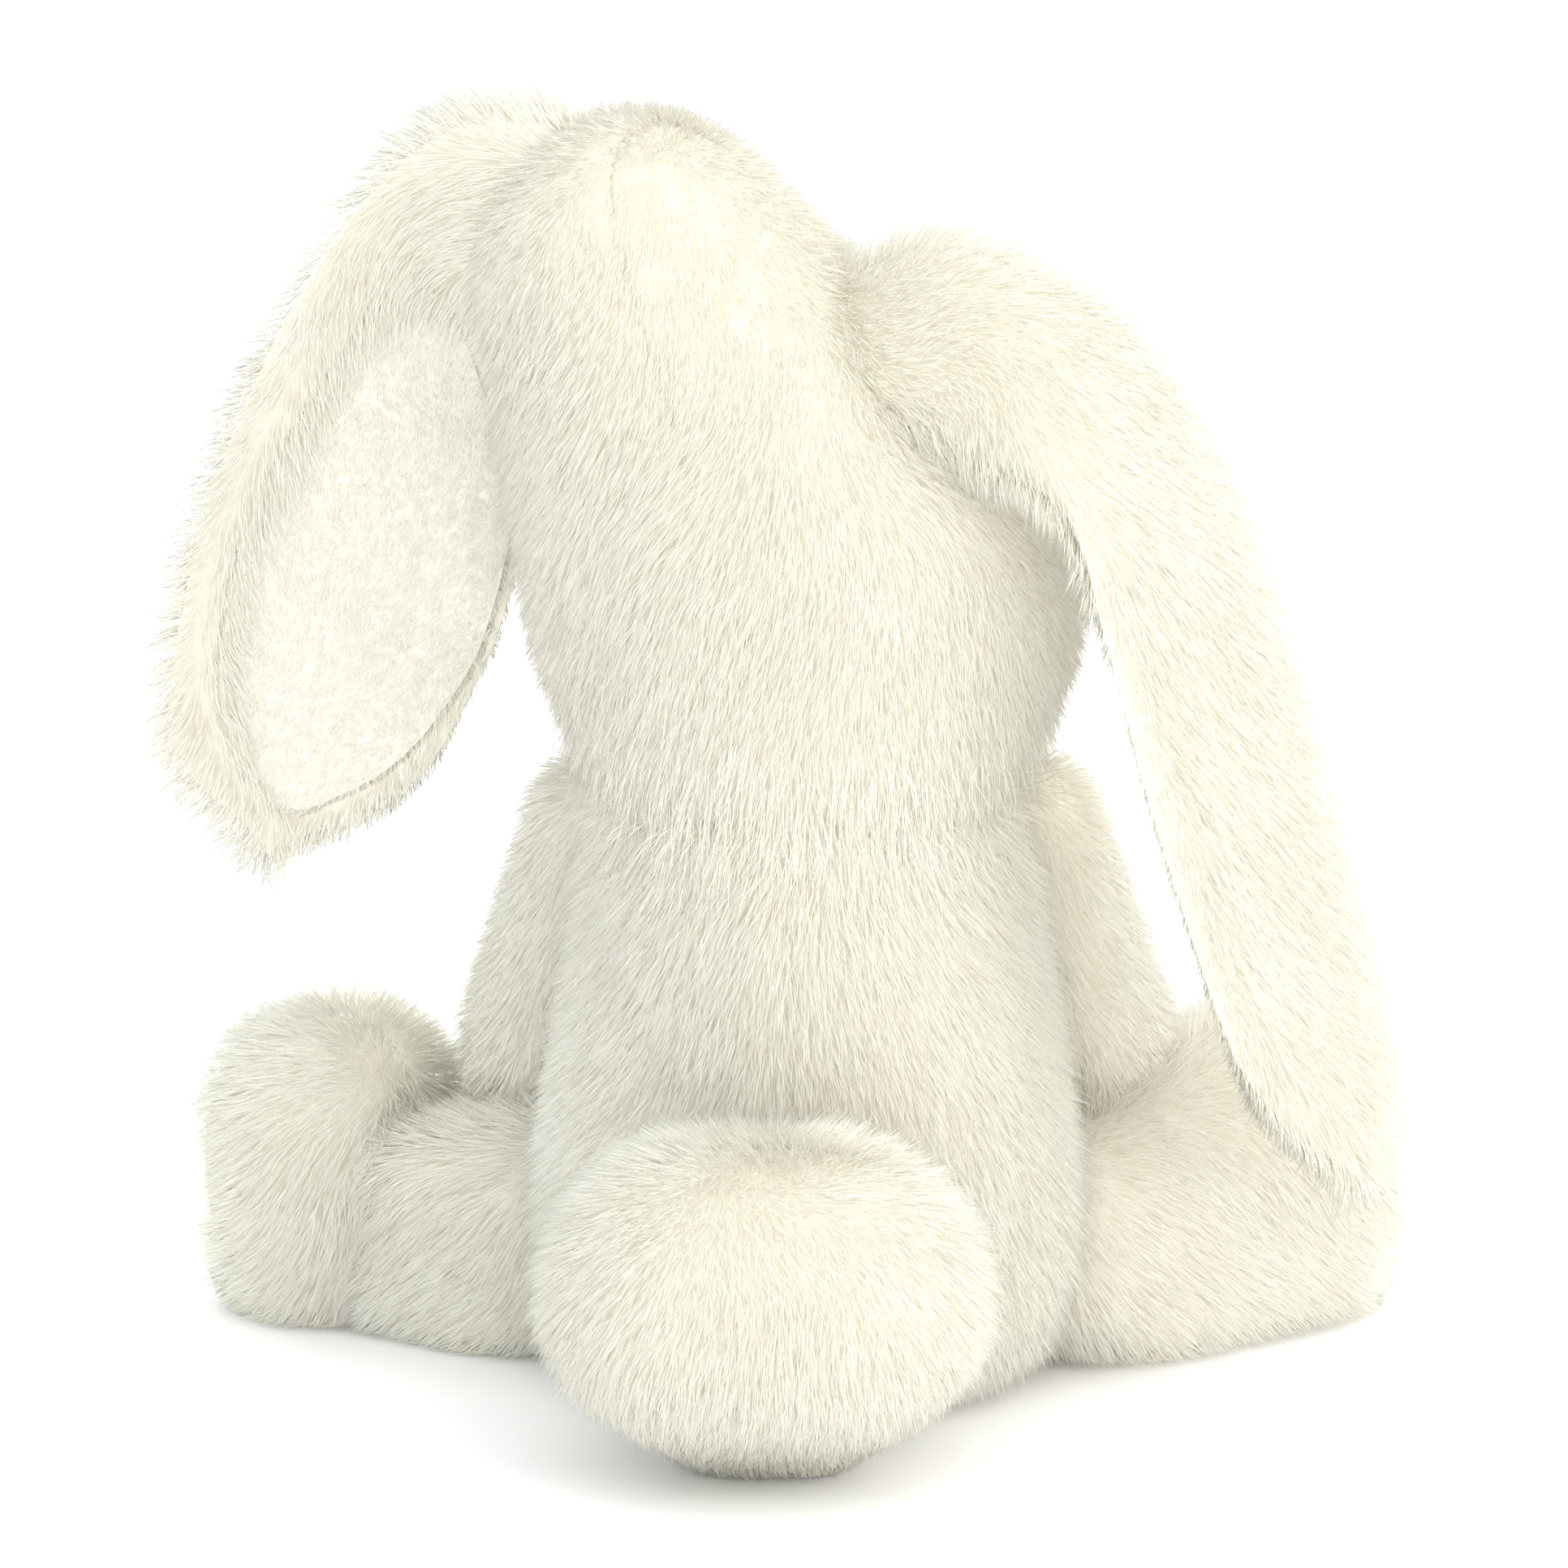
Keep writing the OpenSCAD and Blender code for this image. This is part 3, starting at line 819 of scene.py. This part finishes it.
def satin_line(i):
    """One satin stitch down the nose, over a small pad."""
    x = -NOSE_W + (i + 0.5) * SATIN_STEP
    share = abs(x) / NOSE_W
    top = NOSE_TOP * (1 - 0.25 * share ** 2)
    foot = NOSE_FOOT * (1 - share ** 1.6)
    return [on_face(x * (1 - 0.25 * t), top + (foot - top) * t,
                    0.0012 * math.sin(math.pi * t) + 0.0004)
            for t in np.linspace(0, 1, 7)]


def lip_line(way):
    """One side of the mouth: it sags from the middle and turns up at its end."""
    line = []
    for a in np.linspace(0, 1.7, 12):
        sag = LIP_SAG * (1 - math.cos(a))
        rise = LIP_TURN_UP * a / 1.6 * max(0, a - 0.8)
        line.append(on_face(way * LIP_W * math.sin(a), NOSE_FOOT - LIP_DROP - sag + rise,
                            LIP_LIFT))
    return line


stitched("nose_satin", [satin_line(i) for i in range(int(2 * NOSE_W / SATIN_STEP))],
         SATIN_STEP * 0.62, "nose_stitching")
down_line = [on_face(0, NOSE_FOOT - LIP_DROP * t, LIP_LIFT) for t in np.linspace(0, 1, 8)]
stitched("mouth_line", [down_line, lip_line(1), lip_line(-1)], LIP_THREAD, "mouth_stitching")
for n, mat in (("eye_left", EYE), ("eye_right", EYE),
               ("eye_washer_left", WASHER), ("eye_washer_right", WASHER)):
    me = frame["nodes"][n].data
    me.materials.clear()
    me.materials.append(mat)

# ---- ears ---------------------------------------------------------------------
# Where an ear's lining lies: its first share across near the root (upper) and near the tip
# (lower), its last share across, and its first and last share along.
Patch = namedtuple("Patch", "upper lower last t_from t_to")
# The outer and inner edge of each ear, from its swing joint (millimetres), how far it cups
# and how much thicker its root is.
EARS = {
    "left": {
        "outer": [(-22, 5, 30), (1, 2, 30), (20.5, -1, 14), (36, -4, -11), (48.5, -7, -39.5),
                  (55.5, -9, -67), (57, -9, -89), (46, -8, -107)],
        "inner": [(-21, 5, -21), (-9, 2, -20), (-9, -2, -31), (-9.5, -5, -46), (-6, -7, -62),
                  (0, -9, -76), (11, -9, -94), (31, -8, -109)],
        "cup": 3.0, "root": 8.5,
        "lining": Patch(upper=-0.48, lower=-0.72, last=0.92, t_from=0.19, t_to=0.94)},
    "right": {
        "outer": [(26.4, -16.7, 9.6), (1.4, -10.7, 20), (-18.6, -5.7, 15), (-36.6, -4.7, 2),
                  (-54.6, -6.7, -25.4), (-68.6, -9.2, -74.4), (-81.6, -9.2, -122.4),
                  (-83.6, -2.7, -146.4)],
        "inner": [(-6.6, 5.3, -15.4), (-16.6, 15.3, -18.4), (-23.6, 22.3, -22.4),
                  (-27.6, 25.3, -29.4), (-31.6, 26.3, -44.4), (-40.6, 26.3, -76.4),
                  (-55.6, 22.3, -120.4), (-71.6, 11.3, -148.4)],
        "cup": 2.0, "root": 8.0,
        "lining": Patch(upper=-0.80, lower=-0.80, last=0.80, t_from=0.20, t_to=0.95)},
}


def through(values, t):
    """A smooth curve through evenly spaced values, at t from 0 to 1."""
    values = np.asarray(values, float)
    last = len(values) - 1
    x = np.clip(np.asarray(t) * last, 0, last - 1e-9)
    i = x.astype(int)
    f = (x - i)[:, None]
    p = [values[np.clip(i + k, 0, last)] for k in (-1, 0, 1, 2)]
    return 0.5 * (2 * p[1] + (p[2] - p[0]) * f + (2 * p[0] - 5 * p[1] + 4 * p[2] - p[3]) * f ** 2
                  + (3 * p[1] - p[0] - 3 * p[2] + p[3]) * f ** 3)


class Ear:
    """A long flat ear between two edge curves: t runs from root to tip, s from the outer
    edge (-1) to the inner edge (1), and face points out of the lining."""
    STEPS = 110

    def __init__(self, side):
        facts = EARS[side]
        pivot = np.array(joints["ear_" + side + "_swing"]["pos_m"])
        fine = np.linspace(0, 1, 600)
        outer = pivot + through(facts["outer"], fine) * MM
        inner = pivot + through(facts["inner"], fine) * MM
        centre = (outer + inner) / 2
        run = np.concatenate([[0], np.cumsum(np.linalg.norm(np.diff(centre, axis=0), axis=1))])
        self.t = np.linspace(0, 1, self.STEPS)
        self.length = run[-1]

        def resample(curve):
            return np.stack([np.interp(self.t * run[-1], run, curve[:, k]) for k in range(3)], 1)

        outer, inner = resample(outer), resample(inner)
        self.centre = (outer + inner) / 2
        self.along = unit(np.gradient(self.centre, axis=0))
        self.face = unit(np.cross(self.along, inner - outer))
        self.across = (inner - outer) / 2
        tip = blend_step(self.t, 0.84, 1.0)
        self.across *= np.sqrt(np.clip(1 - (tip * 0.985) ** 2, 0.01, 1))[:, None]
        self.half = np.linalg.norm(self.across, axis=1)
        self.patch = facts["lining"]
        self.cup = facts["cup"] * MM * (1 - blend_step(self.t, 0.5, 1.0) * 0.6)
        self.thick = (1.7 + facts["root"] * np.exp(-(self.t / 0.2) ** 2)) * MM
        self.ripple = drift(self.centre, 0.05, len(side), 0.0012)

    def surface(self, rows, s, side, lift=0.0):
        """Places at shares s across: side is 1 on the lining face and -1 on the back."""
        bulge = self.thick[rows, None] * np.sqrt(np.clip(1 - s ** 2, 0, 1)) * side
        bowl = self.cup[rows, None] * (s ** 2 - 0.35)
        wave = self.ripple[rows, :1] * s + self.ripple[rows, 1:2] * s ** 2
        rise = bulge + bowl + wave + lift
        return (self.centre[rows, None] + self.across[rows, None] * s[..., None]
                + self.face[rows, None] * rise[..., None])

    def body(self, columns=26):
        """The closed furry back: a flattened tube of cloth, thick at its root."""
        angles = np.linspace(0, 2 * math.pi, 2 * columns, endpoint=False)
        rows = np.arange(self.STEPS)
        s = np.broadcast_to(np.cos(angles), (self.STEPS, 2 * columns))
        side = np.sign(np.sin(angles))
        points = self.surface(rows, s, side)
        n, m = points.shape[:2]
        faces = [(i * m + j, (i + 1) * m + j, (i + 1) * m + (j + 1) % m, i * m + (j + 1) % m)
                 for i in range(n - 1) for j in range(m)]
        faces.append(tuple(range(m)))
        faces.append(tuple(reversed(range((n - 1) * m, n * m))))
        return self.closed(points.reshape(-1, 3), faces)

    @staticmethod
    def closed(verts, faces):
        tris = [(f[0], f[k], f[k + 1]) for f in faces for k in range(1, len(f) - 1)]
        skin = Skin(verts, tris, faces)
        a, b, c = (skin.v[skin.t[:, k]] for k in range(3))
        if (np.cross(b - a, c - a) * (a + b + c)).sum() < 0:
            faces = [tuple(reversed(f)) for f in faces]
            tris = [(f[0], f[k], f[k + 1]) for f in faces for k in range(1, len(f) - 1)]
            skin = Skin(verts, tris, faces)
        return skin

    def lining_span(self, t):
        """The lining's first and last share across, at each share along."""
        patch = self.patch
        share = np.clip((t - patch.t_from) / (patch.t_to - patch.t_from), 0, 1)
        first = patch.upper + (patch.lower - patch.upper) * blend_step(share, 0.0, 0.6)
        power = np.where(share < 0.5, 6, 3.5)
        end = np.sqrt(np.clip(1 - np.abs(2 * share - 1) ** power, 0.02, 1))
        middle, half = (first + patch.last) / 2, (patch.last - first) / 2 * end
        return middle - half, middle + half

    def lining(self, columns=30):
        """The sheet of velour that lies on the lining face, with rounded ends."""
        rows = np.flatnonzero((self.t >= self.patch.t_from) & (self.t <= self.patch.t_to))
        first, last = self.lining_span(self.t[rows])
        grid = np.sin(np.linspace(-1, 1, columns) * math.pi / 2)
        s = ((first + last) / 2)[:, None] + ((last - first) / 2)[:, None] * grid[None]
        front = self.surface(rows, s, 1, 0.9 * MM)
        back = self.surface(rows, s, 1, 0.2 * MM)
        n, m = s.shape
        verts = np.concatenate([front.reshape(-1, 3), back.reshape(-1, 3)])

        def at(layer, i, j):
            return layer * n * m + i * m + j

        faces = []
        for i in range(n - 1):
            for j in range(m - 1):
                faces.append((at(0, i, j), at(0, i + 1, j), at(0, i + 1, j + 1), at(0, i, j + 1)))
                faces.append((at(1, i, j), at(1, i, j + 1), at(1, i + 1, j + 1), at(1, i + 1, j)))
            faces.append((at(0, i, 0), at(1, i, 0), at(1, i + 1, 0), at(0, i + 1, 0)))
            j = m - 1
            faces.append((at(0, i, j), at(0, i + 1, j), at(1, i + 1, j), at(1, i, j)))
        for j in range(m - 1):
            i = n - 1
            faces.append((at(0, 0, j), at(0, 0, j + 1), at(1, 0, j + 1), at(1, 0, j)))
            faces.append((at(0, i, j), at(1, i, j), at(1, i, j + 1), at(0, i, j + 1)))
        return self.closed(verts, faces)

    def place(self, p):
        """Share along and across, and the ear's directions, nearest to each place."""
        near = np.argmin(((p[:, None] - self.centre[None]) ** 2).sum(-1), axis=1)
        across = unit(self.across[near])
        off = ((p - self.centre[near]) * across).sum(-1) / self.half[near]
        return self.t[near], off, self.along[near], across, self.face[near]


def outside(skin, places, depth=0.0015):
    """True where a place isn't buried under the skin."""
    tree = KDTree(len(skin.v))
    for i, p in enumerate(skin.v):
        tree.insert(p, i)
    tree.balance()
    near = np.array([tree.find(p)[1] for p in places])
    return ((places - skin.v[near]) * skin.n[near]).sum(1) > -depth


def ear_pile(ear, back, body, rng):
    """Long pile on the back and round the border of the lining, none under the lining."""
    margin, border_width = 0.10, 0.16
    at, normal = back.roots(DENSITY, rng)
    t, s, along, across, face = ear.place(at)
    lining_side = (normal * face).sum(1) > 0.15
    first, last = ear.lining_span(t)
    hidden = (lining_side & (s > first + margin) & (s < last - margin)
              & (t > ear.patch.t_from + 0.02) & (t < ear.patch.t_to - 0.01))
    show = ~hidden & outside(head, at)
    at, normal, t, s, along, across, lining_side, first = (
        x[show] for x in (at, normal, t, s, along, across, lining_side, first))
    outer_edge = (blend_step(np.abs(s), 0.6, 1.0) * (s < 0))[:, None]
    border = (lining_side & (np.abs(s - first) < border_width))[:, None]
    comb = (along * 0.7 - UP * 0.4 - across * outer_edge * 1.1 + across * border * 0.9
            + drift(at, 0.03, 23, 0.18))
    inner_edge = blend_step(s, 0.55, 0.95) * blend_step(t, 0.25, 0.5)
    length = np.where(lining_side, PILE * 0.8, PILE) * (1 - 0.7 * inner_edge)
    ob = pile(body + "_back_pile", at, normal, comb, length, rng,
              lay=LAY - 0.2 * outer_edge[:, 0] + 0.35 * inner_edge)
    settle(ob, body, "ivory_plush")


def make_ear(side, seed):
    ear = Ear(side)
    body = "ear_" + side
    patch = ear.patch
    lining_share = (patch.last - (patch.upper + patch.lower) / 2) / 2
    back = ear.body()
    cloth_back = new_object(body + "_back_cloth", back.v, back.polys, [BACKING])
    settle(cloth_back, body, "ivory_plush", body + "_back")
    lining = ear.lining()
    cloth_lining = new_object(body + "_lining_cloth", lining.v, lining.polys, [LINING])
    settle(cloth_lining, body, "ear_lining_velour", body + "_lining")
    for piece, share, span in ((cloth_back, 1.0, 1.0),
                               (cloth_lining, lining_share, patch.t_to - patch.t_from)):
        piece.visible_shadow = False
    rng = np.random.default_rng(seed)
    ear_pile(ear, back, body, rng)
    at, normal = lining.roots(7.0, rng)
    along, face = (ear.place(at)[k] for k in (2, 4))
    good = (normal * face).sum(1) > -0.2
    at, normal, along = at[good], normal[good], along[good]
    ob = pile(body + "_lining_nap", at, normal, along + drift(at, 0.02, 31, 0.3), 1.6 * MM, rng,
              tones=(VELOUR_TONES[:1], VELOUR_TONES[1:]), **NAP)
    settle(ob, body, "ear_lining_velour")


make_ear("left", 300)
make_ear("right", 310)

# ---- arms, legs and tail ------------------------------------------------------
HAND_LENGTH = 0.02
HAND_SLUMP = 0.0045


def make_arm(side, seed):
    """An arm whose hand has slumped a little lower than the CAD solid."""
    body = "arm_" + side
    outer, inner = body + "_outer_panel", body + "_inner_panel"
    sewn = cad_points(outer, inner)
    hand = sewn[sewn[:, 2] < sewn[:, 2].min() + HAND_LENGTH]
    slumped = np.concatenate([sewn, hand - UP * HAND_SLUMP])
    skin = Skin.of(hulls_merged(body + "_form", [slumped], 1.6 * MM, 3))
    pivot = np.array(joints[body + "_swing"]["pos_m"])
    run = unit(hand.mean(0) - pivot)
    split = unit(np.cross(run, BACKWARDS))
    split = split * np.sign(split[0]) * (1 if side == "left" else -1)

    def comb(at, normal):
        return run + drift(at, 0.03, 41, 0.2)

    covered(body, skin, {
        body + "_outer": (outer, lambda p: (p - pivot) @ split > 0),
        body + "_inner": (inner, lambda p: (p - pivot) @ split <= 0),
    }, comb, even(PILE * 0.82), seed)
    filling(body + "_fill", skin, body, body + "_stuffing", seed + 5, depth=0.0028)


make_arm("left", 400)
make_arm("right", 410)


def on_floor(points, centre, beside, share):
    """The same points let down to the floor and drawn in sideways."""
    out = points - ((points - centre) @ beside)[:, None] * beside * (1 - share)
    out[:, 2] = 0.001
    return out


FOOT_DEPTH = 0.031
THIGH_TOP = 0.0362
THIGH_REACH = 0.012
FOOT_MIDDLE = 0.0125
SOLE_DOME = 0.0085
RIM_FROM, RIM_TO = 0.036, 0.050


def leg_form(side, run, beside, pivot, sole_at):
    """The slumped leg: it spreads to the floor, runs back into the hip and has a padded
    sole. The right leg is drawn tight from foot to hip, as in the photograph."""
    body = "leg_" + side
    points = cad_points(body + "_outer_panel", body + "_inner_panel")
    reach = (points - pivot) @ run
    foot_from = reach.max() - FOOT_DEPTH
    foot = np.concatenate([points[reach > foot_from], cad_points("sole_" + side)])
    leg = points[(reach <= foot_from + 0.002) & (points[:, 2] < THIGH_TOP)]
    thigh = leg[(leg - pivot) @ run < THIGH_REACH]
    leg = np.concatenate([leg, on_floor(leg, pivot, beside, 1.05),
                          thigh - run * THIGH_REACH, thigh - run * 0.010 + UP * 0.007])
    foot_at = sole_at - run * FOOT_MIDDLE
    gathered = foot - ((foot - foot_at) @ run)[:, None] * run * 0.25
    dome = foot[(foot - pivot) @ run > reach.max() - 0.004]
    dome = dome.mean(0) + (dome - dome.mean(0)) * 0.6 + run * SOLE_DOME
    foot = np.concatenate([foot, on_floor(gathered, foot_at, beside, 0.84), dome])
    groups = [foot, leg] if side == "left" else [np.concatenate([foot, leg])]
    skin = Skin.of(hulls_merged(body + "_form", groups, 1.9 * MM, 6))
    skin.rest_on_floor()
    return skin, reach.max() - 0.0012


def make_leg(side, seed):
    body = "leg_" + side
    sole_name = "sole_" + side
    pivot = np.array(joints[body + "_swing"]["pos_m"])
    sole_at = box_centre(sole_name)
    run = unit((sole_at - pivot) * np.array([1, 1, 0]))
    beside = np.cross(run, UP)
    skin, sole_from = leg_form(side, run, beside, pivot, sole_at)
    sole_half = (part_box(sole_name)[1][2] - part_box(sole_name)[0][2]) / 2

    def is_sole(p):
        off = np.linalg.norm(along_surface(p - sole_at, run) * [1.2, 1.2, 1], axis=1)
        return ((p - pivot) @ run > sole_from) & (off < sole_half * 0.95)

    def rim(at):
        return blend_step((at - pivot) @ run, RIM_FROM, RIM_TO)

    def comb(at, normal):
        aside = ((at - pivot) @ beside)[:, None] * beside
        forward = run * (0.35 + 0.8 * rim(at)[:, None])
        return forward - UP * 0.6 + unit(aside) * 0.25 + drift(at, 0.03, 43, 0.15)

    covered(body, skin, {
        body + "_outer": (body + "_outer_panel",
                          lambda p: ((p - pivot) @ beside > 0) & ~is_sole(p)),
        body + "_inner": (body + "_inner_panel",
                          lambda p: ((p - pivot) @ beside <= 0) & ~is_sole(p)),
    }, comb, even(PILE, 0.65), seed, lay=lambda at: 0.7 + 0.35 * rim(at))
    sole = panel_object(sole_name + "_cloth", skin, np.flatnonzero(is_sole(poly_middles(skin))),
                        [LINING])
    settle(sole, body, "sole_velour", sole_name)
    rng = np.random.default_rng(seed + 7)
    at, normal = skin.roots(4.5, rng, is_sole(skin.middles()).astype(float))
    ob = pile(sole_name + "_nap", at, normal, -UP + drift(at, 0.02, 47, 0.3), 1.8 * MM, rng, **NAP)
    settle(ob, body, "sole_velour")
    filling(body + "_fill", skin, body, body + "_stuffing", seed + 5)
    pouch("foot_" + side + "_pellet_bag", body, "foot_" + side + "_pellet_pouch", seed + 6)


make_leg("left", 500)
make_leg("right", 520)


TAIL_FOOT = 0.42
TAIL_FOOT_SHIFT = 0.012


def make_tail():
    """A round tail that sits on the floor on a smaller foot, tucked towards the torso."""
    sewn = cad_points("tail_cover")
    centre = box_centre("tail_cover")
    under = centre + (sewn - centre) * TAIL_FOOT - BACKWARDS * TAIL_FOOT_SHIFT
    under[:, 2] = 0.001
    skin = Skin.of(hulls_merged("tail_form", [np.concatenate([sewn, under])], 2.0 * MM, 5))
    skin.rest_on_floor()

    def comb(at, normal):
        away = unit((at - centre) * np.array([1, 0, 0.3]))
        return -UP + away * 0.1 + drift(at, 0.025, 53, 0.15)

    def length(at, normal):
        return PILE * (0.35 + 0.6 * blend_step(at[:, 2], 0.004, 0.034))

    def lay(at):
        return 0.75 + 0.5 * (1 - blend_step(at[:, 2], 0.008, 0.036))

    covered("tail", skin, {"tail": ("tail_cover", lambda p: p[:, 2] > -1)},
            comb, length, 600, density=3.4, lay=lay)
    filling("tail_fill", skin, "tail", "tail_stuffing", 605)


make_tail()
thread_ring("tail_thread", "tail", "tail_gather_thread", 1)
